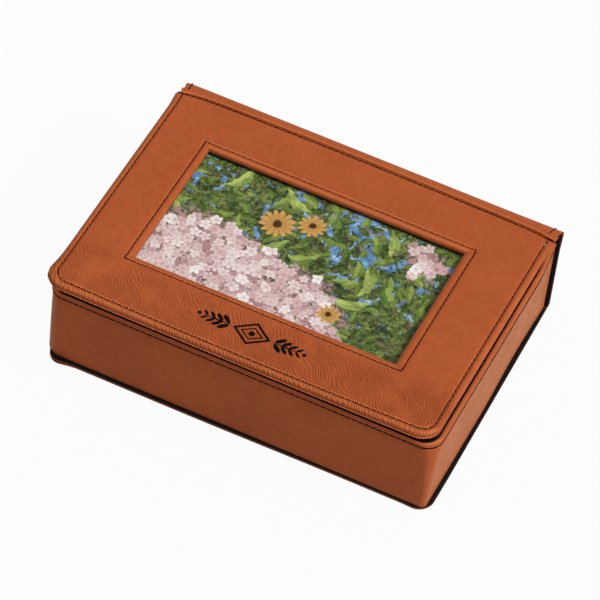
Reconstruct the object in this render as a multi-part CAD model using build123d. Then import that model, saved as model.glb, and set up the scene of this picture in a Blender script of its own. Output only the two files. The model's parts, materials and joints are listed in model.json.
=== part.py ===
from build123d import *
import os

# Leatherette photo box: a base panel, a stiff spine and a hinged lid, with a lined tray on the
# base panel and a window with a photo pocket in the lid.
# Millimetres. +X right, -Y front, +Z up; the origin is under the middle of the closed box.

# ---- overall ----
base_width = 191.4          # the base panel, side to side
box_depth = 141.4           # front of the lid to the back of the spine
box_height = 52.0           # table to the top of the lid
lid_side_setback = 1.0      # the lid is this much narrower than the base panel at each side
lid_shift = -1.1            # the lid's middle from the tray's; negative is to the left
base_front_setback = 1.0    # the base panel's front edge behind the lid's

# ---- sheet and board thicknesses ----
leather = 0.8
lining_cloth = 0.3
base_board_thickness = 1.5
spine_board_thickness = 2.0
wall_board_thickness = 2.4
floor_board_thickness = 2.0
floor_pad_thickness = 1.5
lid_foam_thickness = 0.8
frame_board_thickness = 1.6
pane_thickness = 0.3
backing_card_thickness = 0.6
print_thickness = 0.25

# ---- corners and rolled edges ----
lid_front_corner_radius = 9.5
lid_back_corner_radius = 4.0
base_corner_radius = 8.0
tray_front_corner_radius = 8.0
tray_back_corner_radius = 2.5
panel_back_corner_radius = 1.5
inner_panel_corner_radius = 7.0
lid_edge_roll = 1.6         # rounding of the lid's leather edge, above and below
window_edge_roll = 1.6
base_edge_roll = 0.6
rim_roll = 0.7
spine_top_roll = 0.7

# ---- tray ----
tray_side_ledge = 0.6       # base panel showing beside the tray
tray_front_ledge = 0.7      # and in front of it
rim_gap = 1.9               # lid's leather edge to the tray's rim
rim_lip = 1.8               # how far the tray's leather turns in over the rim
inner_panel_inset = 2.7     # the lid's inner panel from the tray's outside, so that it laps the rim
inner_panel_setback = 0.5   # and from the lid's back edge

# ---- spine and hinge ----
spine_end_inset = 0.7       # the spine is this much shorter than the base panel at each end
strip_depth = 5.4           # hinge line to the back of the spine
strip_drop = 0.3            # the strip's top below the lid's top, so the lid can lie back on it
strip_lap = 8.0             # how far down the spine the hinge strip reaches
hinge_clearance = 0.2       # lid's back edge to the hinge line

# ---- window, print and pocket ----
window_width = 126.9
window_height = 73.9
window_shift_x = -1.3       # window's middle from the lid's middle
window_shift_y = 1.85
window_turn_in = 6.0        # leather turned in under the board round the window
edge_turn_in = 12.0         # and round the lid's edge
pane_margin = 5.0           # pane under the window's turned-in leather
print_width = 152.0         # a 4 x 6 inch print
print_height = 102.0
print_play = 0.1            # above and below the print in its pocket
print_side_play = 0.5
thumb_notch_radius = 20.0

# ---- stitching ----
stitch_inset = 3.2          # thread to the panel's edge
window_stitch_inset = 4.0   # thread to the window's edge
crease_stitch_setback = 0.8  # thread to the hinge line
tray_stitch_drop = 3.4      # thread below the rim
thread_width = 0.5
thread_sink = 0.25          # the thread lies flush in a groove this deep
thread_gap = 0.1            # where two rows of thread end short of each other

# ---- places worked out from the sizes above ----
front_y = -box_depth / 2
back_y = box_depth / 2
base_front_y = front_y + base_front_setback
base_half = base_width / 2
base_top = leather + base_board_thickness
ledge_z = base_top + lining_cloth

spine_half = base_half - spine_end_inset
spine_board_back_y = back_y - leather
spine_board_front_y = spine_board_back_y - spine_board_thickness
spine_front_y = spine_board_front_y - lining_cloth
strip_top_z = box_height - strip_drop
strip_under_z = strip_top_z - leather
strip_foot_z = strip_top_z - strip_lap
spine_board_top_z = strip_under_z - lining_cloth
hinge_y = back_y - strip_depth
crease_thread_y = hinge_y - crease_stitch_setback

lid_half = base_half - lid_side_setback
lid_back_y = hinge_y - hinge_clearance
foam_top_z = box_height - leather
board_top_z = foam_top_z - lid_foam_thickness
board_under_z = board_top_z - frame_board_thickness
lid_under_z = board_under_z - leather
window_x = lid_shift + window_shift_x
window_y = (front_y + lid_back_y) / 2 + window_shift_y
pane_under_z = lid_under_z - pane_thickness
print_top_z = pane_under_z - print_play
print_under_z = print_top_z - print_thickness
card_top_z = print_under_z - print_play
card_under_z = card_top_z - backing_card_thickness
panel_under_z = card_under_z - lining_cloth

tray_half = base_half - tray_side_ledge
tray_front_y = base_front_y + tray_front_ledge
tray_back_y = spine_front_y
rim_z = lid_under_z - rim_gap
wall_top_z = rim_z - leather
wall_inner_inset = leather + wall_board_thickness
lining_inset = wall_inner_inset + lining_cloth
floor_top_z = ledge_z + floor_board_thickness
tray_stitch_z = rim_z - tray_stitch_drop

panel_half = tray_half - inner_panel_inset
panel_front_y = tray_front_y + inner_panel_inset
panel_back_y = lid_back_y - inner_panel_setback

# Slabs used for trimming reach past the box on every side.
beyond = 2 * base_width


def slab(low, high):
    """A box between two corners."""
    size = [b - a for a, b in zip(low, high)]
    return Pos(*low) * Box(*size, align=(Align.MIN, Align.MIN, Align.MIN))


def everything_behind(y):
    return slab((-beyond, y, -beyond), (beyond, beyond, beyond))


def outline(half, y_front, y_back, front_radius, back_radius, inset=0.0, shift=0.0):
    """A rectangle seen from above, drawn in by inset, its front and back corners rounded."""
    half_depth = (y_back - y_front) / 2 - inset
    shape = Rectangle(2 * (half - inset), 2 * half_depth)
    for side, radius in ((-1, front_radius - inset), (1, back_radius - inset)):
        if radius > 0:
            corners = [v for v in shape.vertices() if abs(v.Y - side * half_depth) < radius / 2]
            shape = fillet(corners, radius)
    return Pos(shift, (y_front + y_back) / 2) * shape


def prism(shape, z_low, z_high):
    """The flat shape stood up between two heights."""
    return Pos(0, 0, z_low) * extrude(shape, amount=z_high - z_low)


def base_outline(inset=0.0):
    return outline(base_half, base_front_y, back_y, base_corner_radius,
                   panel_back_corner_radius, inset)


def lid_outline(inset=0.0):
    return outline(lid_half, front_y, lid_back_y, lid_front_corner_radius,
                   lid_back_corner_radius, inset, lid_shift)


def tray_outline(inset=0.0):
    return outline(tray_half, tray_front_y, tray_back_y, tray_front_corner_radius,
                   tray_back_corner_radius, inset)


def panel_outline(inset=0.0):
    """The lid's inner panel, which comes down on the tray's rim."""
    return outline(panel_half, panel_front_y, panel_back_y, inner_panel_corner_radius,
                   panel_back_corner_radius, inset)


def window_outline(outset=0.0):
    shape = Rectangle(window_width + 2 * outset, window_height + 2 * outset)
    return Pos(window_x, window_y) * shape


def ring(shape_at, outer_inset, inner_inset, z_low, z_high):
    """The wall between two insets of one outline."""
    return prism(shape_at(outer_inset), z_low, z_high) - prism(shape_at(inner_inset), z_low, z_high)


def flat_face(solid, z):
    """The largest level face of a solid at height z."""
    level = [f for f in solid.faces().filter_by(Axis.Z) if abs(f.center().Z - z) < leather / 4]
    return sorted(level, key=lambda f: f.area)[-1]


# ---- stitching, which also cuts the grooves that it lies in ----

def lid_stitching():
    """One row round the left, front and right of the lid."""
    row = ring(lid_outline, stitch_inset - thread_width / 2, stitch_inset + thread_width / 2,
               box_height - thread_sink, box_height)
    return row - everything_behind(crease_thread_y - thread_width / 2 - thread_gap)


def crease_stitching():
    """The row along the hinge, between the lid's rounded back corners."""
    reach = lid_half - lid_back_corner_radius
    return slab((lid_shift - reach, crease_thread_y - thread_width / 2, box_height - thread_sink),
                (lid_shift + reach, crease_thread_y + thread_width / 2, box_height))


def window_stitching():
    z_low = box_height - thread_sink
    return prism(window_outline(window_stitch_inset + thread_width / 2), z_low, box_height) - prism(
        window_outline(window_stitch_inset - thread_width / 2), z_low, box_height)


def tray_stitching():
    """One row round the front and sides of the tray, below its rim."""
    row = ring(tray_outline, 0, thread_sink, tray_stitch_z - thread_width / 2,
               tray_stitch_z + thread_width / 2)
    return row - everything_behind(tray_back_y - tray_back_corner_radius)


def spine_stitching():
    """A row down each end of the spine, carried on over the hinge strip."""
    rows = []
    for side in (-1, 1):
        left = side * (spine_half - stitch_inset) - thread_width / 2
        right = left + thread_width
        rows.append(slab((left, back_y - thread_sink, ledge_z),
                         (right, back_y, strip_top_z - spine_top_roll)))
        rows.append(slab((left, hinge_y + thread_width, strip_top_z - thread_sink),
                         (right, back_y - spine_top_roll, strip_top_z)))
    return Compound(children=rows)


# ---- the case: base panel and spine ----

def base_cover():
    """Leatherette under the base panel and round its edges."""
    sheet = prism(base_outline(), 0, base_top)
    sheet = fillet(flat_face(sheet, 0).outer_wire().edges(), base_edge_roll)
    return sheet - prism(base_outline(leather), leather, base_top)


def spine_cover():
    """Leatherette on the spine's back, up to the hinge strip."""
    skin = slab((-spine_half, spine_board_back_y, base_top), (spine_half, back_y, strip_foot_z))
    return skin - spine_stitching()


def base_board():
    return prism(base_outline(leather), leather, base_top)


def base_lining():
    """Black cloth over the base board and the edge of its leather."""
    cloth = prism(base_outline(leather / 2), base_top, ledge_z)
    return cloth - everything_behind(spine_front_y)


def spine_board():
    return slab((-spine_half + lining_cloth, spine_board_front_y, base_top),
                (spine_half - lining_cloth, spine_board_back_y, spine_board_top_z))


def spine_lining():
    """Black cloth on the spine's inner face and round its ends."""
    wrap = slab((-spine_half, spine_front_y, base_top),
                (spine_half, spine_board_back_y, spine_board_top_z))
    return wrap - spine_board()


def hinge_strip():
    """The top of the spine: it laps down the back and runs forward to the hinge line."""
    strip = slab((-spine_half, hinge_y, strip_foot_z), (spine_half, back_y, strip_top_z))
    strip -= slab((-beyond, -beyond, -beyond), (beyond, spine_board_back_y, strip_under_z))
    top_back = strip.edges().filter_by(Axis.X).group_by(Axis.Z)[-1].sort_by(Axis.Y)[-1]
    return fillet(top_back, spine_top_roll) - spine_stitching()


def hinge_lining():
    """Black cloth under the strip, from the spine board's back to the hinge line."""
    return slab((-spine_half, hinge_y, spine_board_top_z),
                (spine_half, spine_board_back_y, strip_under_z))


# ---- the tray ----

def wall_ring():
    return ring(tray_outline, leather, wall_inner_inset, ledge_z, wall_top_z)


def tray_wall_board():
    """Front and side walls, one board bent round the front corners."""
    return wall_ring() - everything_behind(tray_back_y - wall_inner_inset)


def tray_back_board():
    return wall_ring() & everything_behind(tray_back_y - wall_inner_inset)


def tray_floor_board():
    return prism(tray_outline(wall_inner_inset), ledge_z, floor_top_z)


def tray_cover():
    """Leatherette round the walls, turned in over the rim."""
    skin = ring(tray_outline, 0, leather, ledge_z, rim_z)
    skin += ring(tray_outline, 0, rim_lip, wall_top_z, rim_z)
    skin = fillet(flat_face(skin, rim_z).outer_wire().edges(), rim_roll)
    return skin - tray_stitching()


def tray_wall_lining():
    """Black cloth on the walls' inner faces and over the inner part of the rim."""
    top_z = wall_top_z + lining_cloth
    cloth = ring(tray_outline, wall_inner_inset, lining_inset, floor_top_z, top_z)
    return cloth + ring(tray_outline, rim_lip, lining_inset, wall_top_z, top_z)


def tray_floor_pad():
    return prism(tray_outline(lining_inset), floor_top_z, floor_top_z + floor_pad_thickness)


# ---- the lid ----

def lid_frame(z_low, z_high):
    """The flat frame that the leather is wrapped round."""
    return prism(lid_outline(leather), z_low, z_high) - prism(window_outline(leather), z_low, z_high)


def lid_cover():
    """Leatherette over the lid, round its edges and the window's, and turned in below."""
    skin = prism(lid_outline(), lid_under_z, box_height)
    skin = fillet(flat_face(skin, box_height).outer_wire().edges(), lid_edge_roll)
    skin = fillet(flat_face(skin, lid_under_z).outer_wire().edges(), lid_edge_roll)
    skin -= prism(window_outline(), lid_under_z, box_height)
    skin = fillet(flat_face(skin, box_height).inner_wires()[0].edges(), window_edge_roll)
    skin -= lid_frame(board_under_z, foam_top_z)
    skin -= prism(lid_outline(edge_turn_in), lid_under_z, board_under_z) - prism(
        window_outline(window_turn_in), lid_under_z, board_under_z)
    return skin - lid_stitching() - window_stitching() - crease_stitching()


def lid_foam():
    return lid_frame(board_top_z, foam_top_z)


def lid_frame_board():
    return lid_frame(board_under_z, board_top_z)


def window_pane():
    return prism(window_outline(pane_margin), pane_under_z, lid_under_z)


def pocket_spacer():
    """A strip round three sides of the print; the pocket is open to the left."""
    strip = prism(panel_outline(lining_cloth), card_top_z, lid_under_z)
    room_half = print_height / 2 + print_side_play
    return strip - slab((-beyond, window_y - room_half, 0),
                        (window_x + print_width / 2 + print_side_play, window_y + room_half, beyond))


def thumb_notch():
    """A half-round bite in the inner panel, where the print is gripped."""
    return Pos(-panel_half, window_y, box_height) * Cylinder(thumb_notch_radius, box_height)


def lid_backing_card():
    return prism(panel_outline(lining_cloth), card_under_z, card_top_z) - thumb_notch()


def lid_lining():
    """Black cloth under the backing card and up its edges."""
    cloth = prism(panel_outline(), panel_under_z, card_top_z)
    cloth -= prism(panel_outline(lining_cloth), card_under_z, card_top_z)
    return cloth - thumb_notch()


def photo_print():
    """The print in the pocket; it pulls out to the left."""
    return slab((window_x - print_width / 2, window_y - print_height / 2, print_under_z),
                (window_x + print_width / 2, window_y + print_height / 2, print_top_z))


pieces = [
    base_cover, base_board, base_lining, spine_cover, spine_board, spine_lining, spine_stitching,
    hinge_strip, hinge_lining, tray_wall_board, tray_back_board, tray_floor_board, tray_cover,
    tray_wall_lining, tray_floor_pad, tray_stitching, lid_cover, lid_foam, lid_frame_board,
    window_pane, pocket_spacer, lid_backing_card, lid_lining, lid_stitching, window_stitching,
    crease_stitching, photo_print,
]

os.makedirs("parts", exist_ok=True)
for piece in pieces:
    export_step(piece(), f"parts/{piece.__name__}.step")
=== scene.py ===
"""Dresses the leatherette photo box: wrapped panels, stitching, lining, window, print and stage."""

import json
import math

import bmesh
import bpy
from bpy.props import FloatProperty, FloatVectorProperty, PointerProperty
from mathutils import Matrix, Vector


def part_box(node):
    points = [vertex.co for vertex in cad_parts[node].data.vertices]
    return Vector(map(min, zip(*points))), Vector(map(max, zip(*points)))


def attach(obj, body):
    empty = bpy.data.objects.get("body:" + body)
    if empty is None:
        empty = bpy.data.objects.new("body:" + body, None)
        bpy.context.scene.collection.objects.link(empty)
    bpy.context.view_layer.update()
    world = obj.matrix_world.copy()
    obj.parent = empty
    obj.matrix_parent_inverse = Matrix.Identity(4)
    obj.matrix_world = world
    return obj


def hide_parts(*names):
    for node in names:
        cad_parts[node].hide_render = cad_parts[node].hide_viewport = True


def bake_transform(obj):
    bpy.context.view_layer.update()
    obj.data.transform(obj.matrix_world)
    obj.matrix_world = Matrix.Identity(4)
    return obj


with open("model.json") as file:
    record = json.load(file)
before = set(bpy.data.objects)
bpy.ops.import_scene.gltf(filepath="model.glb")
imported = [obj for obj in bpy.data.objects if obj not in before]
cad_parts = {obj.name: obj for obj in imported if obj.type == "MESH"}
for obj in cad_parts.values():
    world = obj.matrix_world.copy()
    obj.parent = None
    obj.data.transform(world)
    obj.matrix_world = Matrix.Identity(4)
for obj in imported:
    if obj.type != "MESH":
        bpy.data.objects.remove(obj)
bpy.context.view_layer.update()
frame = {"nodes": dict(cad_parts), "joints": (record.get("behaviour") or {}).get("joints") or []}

bl_info = {
    "name": "Leatherette photo box",
    "version": (1, 0, 0),
    "blender": (4, 5, 0),
    "location": "View3D > Sidebar > Photo box",
    "description": "Wraps, stitches, lines and fills a book-style photo box",
    "category": "Object",
}

MM = 0.001
FULL_TURN = 6.283  # rounded; the print's leaves and florets are turned by it


def span(node):
    """The lowest and highest corners of a frame node in millimetres."""
    low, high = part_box(node)
    return low / MM, high / MM


LID_LOW, LID_HIGH = span("lid_cover")
TRAY_LOW, TRAY_HIGH = span("tray_cover")
BASE_LOW, BASE_HIGH = span("base_cover")
STRIP_LOW, STRIP_HIGH = span("hinge_strip")
SPINE_LOW = span("spine_cover")[0]
SPINE_LINING_LOW, SPINE_LINING_HIGH = span("spine_lining")
PAD_LOW, PAD_HIGH = span("tray_floor_pad")
WALL_LINING_LOW, WALL_LINING_HIGH = span("tray_wall_lining")
STITCH_LOW, STITCH_HIGH = span("window_stitching")
TRAY_STITCH_LOW, TRAY_STITCH_HIGH = span("tray_stitching")
SPINE_STITCH_LOW = span("spine_stitching")[0]
HINGE_Y = next(j for j in frame["joints"] if j["name"] == "lid_hinge")["pos_m"][1] / MM
SEWING_INSET = 3.2  # from the lid's edge in to its sewing
WINDOW_SEWING = 4.0  # from the window's edge out to its sewing
STITCH_SLANT = 0.07
LID_BACK_RADIUS = 4.0
TRAY_FRONT_RADIUS = 8.0

# Outlines: left, right, front, back, (radius of the front corners, radius of the back ones).
LID = (LID_LOW.x + 0.5, LID_HIGH.x, LID_LOW.y, LID_HIGH.y, (9.5, LID_BACK_RADIUS))
TRAY = (TRAY_LOW.x, TRAY_HIGH.x, TRAY_LOW.y, TRAY_HIGH.y, (TRAY_FRONT_RADIUS, 0.5))
BASE = (BASE_LOW.x + 2.3, BASE_HIGH.x + 0.2, BASE_LOW.y + 0.2, BASE_HIGH.y, (8.0, 1.5))
TOP = LID_HIGH.z
WINDOW = (STITCH_LOW.x + WINDOW_SEWING + 0.25, STITCH_HIGH.x - WINDOW_SEWING - 0.25,
          STITCH_LOW.y + WINDOW_SEWING + 0.25, STITCH_HIGH.y - WINDOW_SEWING - 0.25)


# ---------------------------------------------------------------- what a user would change


def size(label, words, value, low=0.0, high=20.0):
    """A length in millimetres, as a user's setting."""
    return FloatProperty(name=label, description=words, default=value, min=low, max=high)


def colour(label, words, value):
    """A colour, as a user's setting."""
    return FloatVectorProperty(name=label, description=words, default=value, size=3, min=0.0,
                               max=1.0, subtype="COLOR")


class PhotoBoxSizes(bpy.types.PropertyGroup):
    """Sizes of the wrapping and the sewing, in millimetres."""

    stitch_pitch: size("Stitch pitch", "From one needle hole to the next, in mm", 3.0, 1.0, 8.0)
    stitch_length: size("Stitch length", "Thread seen between two holes, in mm", 2.9, 0.5, 8.0)
    thread_radius: size("Thread radius", "Half the thread's thickness, in mm", 0.27, 0.05, 1.0)
    groove_depth: size("Groove depth", "How far a row of sewing pulls the leather down, in mm", 0.6)
    strip_ridge: size("Strip ridge", "Height of the fold line along the hinge strip, in mm", 0.45)
    crease_bow: size("Crease bow", "How far the hinge line bends back in its middle, in mm", 1.5)


class PhotoBoxColours(bpy.types.PropertyGroup):
    """Colours of the finishes."""

    leather: colour("Leatherette", "The tan leatherette", (0.490, 0.112, 0.034))
    leather_dark: colour("Leatherette, deep", "Its grain's hollows", (0.270, 0.049, 0.012))
    thread: colour("Thread", "The waxed thread", (0.010, 0.003, 0.002))
    lining: colour("Lining", "The black cloth", (0.005, 0.004, 0.004))
    board: colour("Board", "Bare binder's board", (0.36, 0.30, 0.23))


# ---------------------------------------------------------------- shader maths


class Tone:
    """A number that varies over a surface. Arithmetic on it adds Math nodes."""

    def __init__(self, finish, socket):
        self.finish, self.socket = finish, socket

    def math(self, operation, *others, clamp=False):
        return self.finish.tone("ShaderNodeMath", {"operation": operation, "use_clamp": clamp},
                                dict(enumerate((self, *others))))

    def __add__(self, other):
        return self.math("ADD", other)

    def __mul__(self, other):
        return self.math("MULTIPLY", other)

    def __sub__(self, other):
        return self.math("SUBTRACT", other)

    def __rsub__(self, other):
        return self.finish.tone("ShaderNodeMath", {"operation": "SUBTRACT"}, {0: other, 1: self})

    def __truediv__(self, other):
        return self.math("DIVIDE", other)

    def clamped(self):
        return self.math("ADD", 0.0, clamp=True)

    def above(self, edge, soft):
        """0 below the edge and 1 above it, over a soft width."""
        return ((self - (edge - soft / 2)) / soft).clamped()

    def below(self, edge, soft):
        return 1.0 - self.above(edge, soft)

    def absolute(self):
        return self.math("ABSOLUTE")

    def sine(self):
        return self.math("SINE")

    def cosine(self):
        return self.math("COSINE")

    def larger(self, other):
        return self.math("MAXIMUM", other)


def scaled(shade, share):
    return tuple(c * share for c in shade)


def solid(shade):
    """A colour with its alpha, where it is a colour and not a link."""
    return (*shade, 1.0) if isinstance(shade, (tuple, list)) and len(shade) == 3 else shade


class Finish:
    """A material, or the world, and its nodes."""

    def __init__(self, owner, output="ShaderNodeOutputMaterial"):
        self.owner = bpy.data.materials.new(owner) if isinstance(owner, str) else owner
        self.owner.use_nodes = True
        self.tree = self.owner.node_tree
        self.tree.nodes.clear()
        self.output = self.tree.nodes.new(output)

    def node(self, kind, settings=None, sockets=None):
        """Any node: its settings first, then the values or links of its sockets."""
        made = self.tree.nodes.new(kind)
        for key, value in (settings or {}).items():
            setattr(made, key, value)
        for key, value in (sockets or {}).items():
            value = value.socket if isinstance(value, Tone) else value
            if isinstance(value, bpy.types.NodeSocket):
                self.tree.links.new(value, made.inputs[key])
            else:
                made.inputs[key].default_value = value
        return made

    def tone(self, kind, settings=None, sockets=None, output=0):
        """A number that a node gives."""
        return Tone(self, self.node(kind, settings, sockets).outputs[output])

    def place(self, scale=(1.0, 1.0, 1.0), turn=0.0, shift=(0.0, 0.0, 0.0)):
        """Object coordinates in millimetres, then scaled, turned about Z and shifted."""
        return self.node("ShaderNodeMapping", None, {
            "Vector": self.node("ShaderNodeTexCoord").outputs["Object"],
            "Scale": [s / MM for s in scale], "Rotation": (0.0, 0.0, turn),
            "Location": shift}).outputs[0]

    def axes(self, vector):
        parts = self.node("ShaderNodeSeparateXYZ", None, {0: vector})
        return [Tone(self, output) for output in parts.outputs]

    def vector(self, operation, first, second):
        """Maths on two vectors."""
        return self.node("ShaderNodeVectorMath", {"operation": operation},
                         {0: first, "Scale" if operation == "SCALE" else 1: second}).outputs[0]

    def noise(self, vector, scale, detail=2.0, roughness=0.5, distortion=0.0):
        return self.tone("ShaderNodeTexNoise", None, {
            "Vector": vector, "Scale": scale, "Detail": detail, "Roughness": roughness,
            "Distortion": distortion})

    def cells(self, vector, scale, feature="F1"):
        return self.tone("ShaderNodeTexVoronoi", {"feature": feature},
                         {"Vector": vector, "Scale": scale, "Randomness": 1.0})

    def mix(self, factor, first, second, blend="MIX"):
        """Two colours mixed; the factor may vary."""
        return self.node("ShaderNodeMix", {"data_type": "RGBA", "blend_type": blend},
                         {0: factor, 6: solid(first), 7: solid(second)}).outputs[2]

    def ramp(self, factor, *stops):
        """Colours along a number; each stop is a place and a colour."""
        made = self.node("ShaderNodeValToRGB", None, {0: factor})
        elements = made.color_ramp.elements
        while len(elements) < len(stops):
            elements.new(0.5)
        for element, (place, shade) in zip(elements, stops):
            element.position, element.color = place, solid(shade)
        return made.outputs[0]

    def bump(self, height, strength, distance):
        return self.node("ShaderNodeBump", None, {
            "Height": height, "Strength": strength, "Distance": distance * MM}).outputs[0]

    def end_with(self, shader):
        """Makes a shader the result."""
        self.tree.links.new(shader.outputs[0], self.output.inputs["Surface"])
        return self.owner

    def blend_of(self, factor, first, second):
        """Ends with two shaders mixed by a factor that may vary."""
        return self.end_with(self.node("ShaderNodeMixShader", None, {
            0: factor, 1: first.outputs[0], 2: second.outputs[0]}))

    def surface(self, **sockets):
        """Ends with the plain shader; names are its sockets' names with _ for spaces."""
        return self.end_with(self.node("ShaderNodeBsdfPrincipled", None, {
            key.replace("_", " "): value for key, value in sockets.items()}))

    def unlit_rays(self):
        """1 for the rays that see the stage plain white: the camera's, glossy ones and the pane's."""
        ray = self.node("ShaderNodeLightPath")
        camera, glossy, through = (Tone(self, ray.outputs[name]) for name in (
            "Is Camera Ray", "Is Glossy Ray", "Is Transmission Ray"))
        return camera.larger(glossy).larger(through)


# ---------------------------------------------------------------- the finishes


def leather_finish(name, colours, wrinkled=False, share=1.0):
    """Tan leatherette: grain, mottling and, where wrinkled, stretched ripples, with a painted highlight on slopes
    that tilt to the front. Share darkens it, for a copy in painted shade.
    """
    look = Finish(name)
    here = look.place()
    cloud = look.noise(here, 0.05, 3.0)
    mottle = look.noise(here, 0.30, 4.0, 0.65)
    pebble = look.cells(here, 1.05, "SMOOTH_F1")
    pore = look.noise(here, 1.5, 3.0, 0.7)
    x, y, z = look.axes(here)

    def folds(scale_x, turn, shift=(0.0, 0.0, 0.0)):
        stretched = look.place((scale_x, 0.20, 0.4), turn, shift)
        return (look.noise(stretched, 1.0, 3.0, 0.55, 0.9) - 0.5).absolute().below(0.05, 0.10)

    crease = folds(0.62, 0.30)
    if wrinkled:
        wander = look.noise(here, 0.07, 2.0) * 5.0
        near_front = (y + wander).below(-40.0, 14.0)
        near_back = (y + wander).above(36.0, 18.0) * 0.26
        near_side = (x + wander).below(-66.0, 22.0) * 0.22
        strength = near_front.larger(near_back).larger(near_side) * 0.97 + 0.03
        patch = look.noise(here, 0.045, 2.0).above(0.46, 0.14) * 0.6 + 0.4
        second = folds(0.55, -0.55, (9.0, 4.0, 0.0))
        bands = ((x * 0.70 + y * 0.71) * 4.7 + look.noise(here, 0.06, 2.0) * 46.0 +
                 look.noise(here, 0.4, 3.0) * 6.5)
        banded = look.noise(here, 0.07, 2.0).above(0.38, 0.2)
        wrinkle = (crease.larger(second * 0.7) * strength * patch * 0.4 +
                   (bands.sine() * 0.5 + 0.5) * strength * banded * 1.2)
        tone = wrinkle * 0.36 - strength * 0.12
    else:
        wrinkle = crease * (cloud.above(0.52, 0.2) * 0.28)
        tone = wrinkle * 0.30
    deep = mottle * 0.75 + tone + pore * 0.55 + cloud * 0.35 - 0.62
    shade = look.mix(deep.clamped(), scaled(colours.leather, share),
                     scaled(colours.leather_dark, share))
    # painted highlight: slopes that tilt up and towards the front are lightened, standing in for the gloss on the
    # lid's crests and edges
    tilt = look.axes(look.node("ShaderNodeTexCoord").outputs["Normal"])
    painted_crest_highlight = tilt[2].above(0.5, 0.4) * tilt[2].below(0.985, 0.03) * (tilt[1] * -1.0).above(0.15, 0.2)
    shade = look.mix(painted_crest_highlight * 0.35 * share, shade, (0.86, 0.25, 0.085))
    height = pebble * 0.30 + pore * 0.45 - wrinkle * 0.75 + mottle * 0.5
    return look.surface(Base_Color=shade, Roughness=mottle * 0.16 + wrinkle * 0.1 + 0.40,
                        Normal=look.bump(height, 0.75, 0.42), Specular_IOR_Level=0.05,
                        Sheen_Weight=0.22, Sheen_Roughness=0.35, Sheen_Tint=(0.90, 1.0, 0.42, 1.0))


def thread_finish(colours):
    """Waxed thread: two twisted strands, nearly black."""
    look = Finish("waxed_thread")
    twist = look.noise(look.place((2.4, 2.4, 2.4), 0.7), 1.0)
    return look.surface(Base_Color=look.mix(twist, tuple(colours.thread), (0.032, 0.010, 0.006)),
                        Roughness=0.7, Specular_IOR_Level=0.04, Normal=look.bump(twist, 0.5, 0.1))


def cloth_finish(name, colours, nap=0.0):
    """Black lining: a close weave with a little nap."""
    look = Finish(name)
    here = look.place()
    x, y, z = look.axes(here)
    weave = (x * 9.0).sine() * (y * 9.0).sine() + (z * 9.0).sine() * 0.5
    fuzz = look.noise(here, 3.2, 3.0, 0.65)
    cloud = look.noise(here, 0.06)
    shade = look.mix(cloud * 0.6 + fuzz * 0.4, tuple(colours.lining), (0.011, 0.0095, 0.0095))
    return look.surface(Base_Color=shade, Roughness=0.9, Specular_IOR_Level=0.08,
                        Sheen_Weight=nap, Normal=look.bump(weave * 0.5 + fuzz, 0.35, 0.12))


def board_finish(name, light, dark):
    """Bare board or card: pressed fibres."""
    look = Finish(name)
    fibres = look.noise(look.place((0.5, 1.6, 1.0)), 1.4, 5.0, 0.7)
    flecks = look.noise(look.place(), 3.0).above(0.66, 0.08)
    shade = look.mix(flecks * 0.5, look.mix(fibres, tuple(light), dark), scaled(dark, 0.5))
    return look.surface(Base_Color=shade, Roughness=0.92, Normal=look.bump(fibres, 0.3, 0.1))


def foam_finish():
    """Thin open-cell padding."""
    look = Finish("lid_padding")
    pores = look.cells(look.place(), 2.2)
    return look.surface(Base_Color=look.mix(pores, (0.62, 0.60, 0.55), (0.80, 0.79, 0.75)),
                        Roughness=0.95, Normal=look.bump(pores, 0.5, 0.2))


def pane_finish():
    """The clear sheet in the window: see-through, with a plain surface gloss."""
    look = Finish("clear_sheet")
    edge = look.tone("ShaderNodeFresnel", None, {"IOR": 1.3})
    inside = look.tone("ShaderNodeNewGeometry", output="Backfacing")
    return look.blend_of(
        edge * (1.0 - inside),
        look.node("ShaderNodeBsdfTransparent", None, {0: (0.985, 0.985, 0.985, 1.0)}),
        look.node("ShaderNodeBsdfGlossy", None, {"Color": (0.35, 0.35, 0.35, 1.0), "Roughness": 0.1}))


def engraved_finish():
    """The dark, slightly rough bottom of an engraved line."""
    look = Finish("engraved_black")
    scorched = look.noise(look.place(), 2.5, 3.0)
    return look.surface(Base_Color=look.mix(scorched, (0.003, 0.002, 0.002), (0.010, 0.006, 0.005)),
                        Roughness=0.8, Specular_IOR_Level=0.03, Normal=look.bump(scorched, 0.4, 0.1))


def white_stage_finish():
    """A white floor that keeps the object's shadow."""
    look = Finish("white_floor")
    return look.blend_of(
        look.unlit_rays() * 0.955,
        look.node("ShaderNodeBsdfDiffuse", None, {"Color": (0.60, 0.60, 0.60, 1.0)}),
        look.node("ShaderNodeEmission", None, {"Color": (1.0, 1.0, 1.0, 1.0), "Strength": 1.0}))


# ---------------------------------------------------------------- the garden print


def strewn(look, vector, spacing, shift):
    """Places strewn over a surface: across and up from the nearest one, its chances, its middle."""
    moved = look.vector("ADD", vector, shift)
    places = look.node("ShaderNodeTexVoronoi", {"voronoi_dimensions": "2D"}, {
        "Vector": moved, "Scale": 1.0 / spacing, "Randomness": 0.9})
    centre = places.outputs["Position"]
    chance = look.node("ShaderNodeSeparateColor", None, {0: places.outputs["Color"]})
    u, v, w = look.axes(look.vector("SUBTRACT", moved, centre))
    return (u, v, [Tone(look, output) for output in chance.outputs],
            look.vector("SUBTRACT", centre, shift))


def unsteady(look, vector, scale, reach):
    """The same places, pushed about by up to half the reach."""
    push = look.node("ShaderNodeTexNoise", None, {"Vector": vector, "Scale": scale, "Detail": 3.0})
    push = look.vector("SUBTRACT", push.outputs["Color"], (0.5, 0.5, 0.5))
    return look.vector("ADD", vector, look.vector("SCALE", push, reach))


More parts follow.
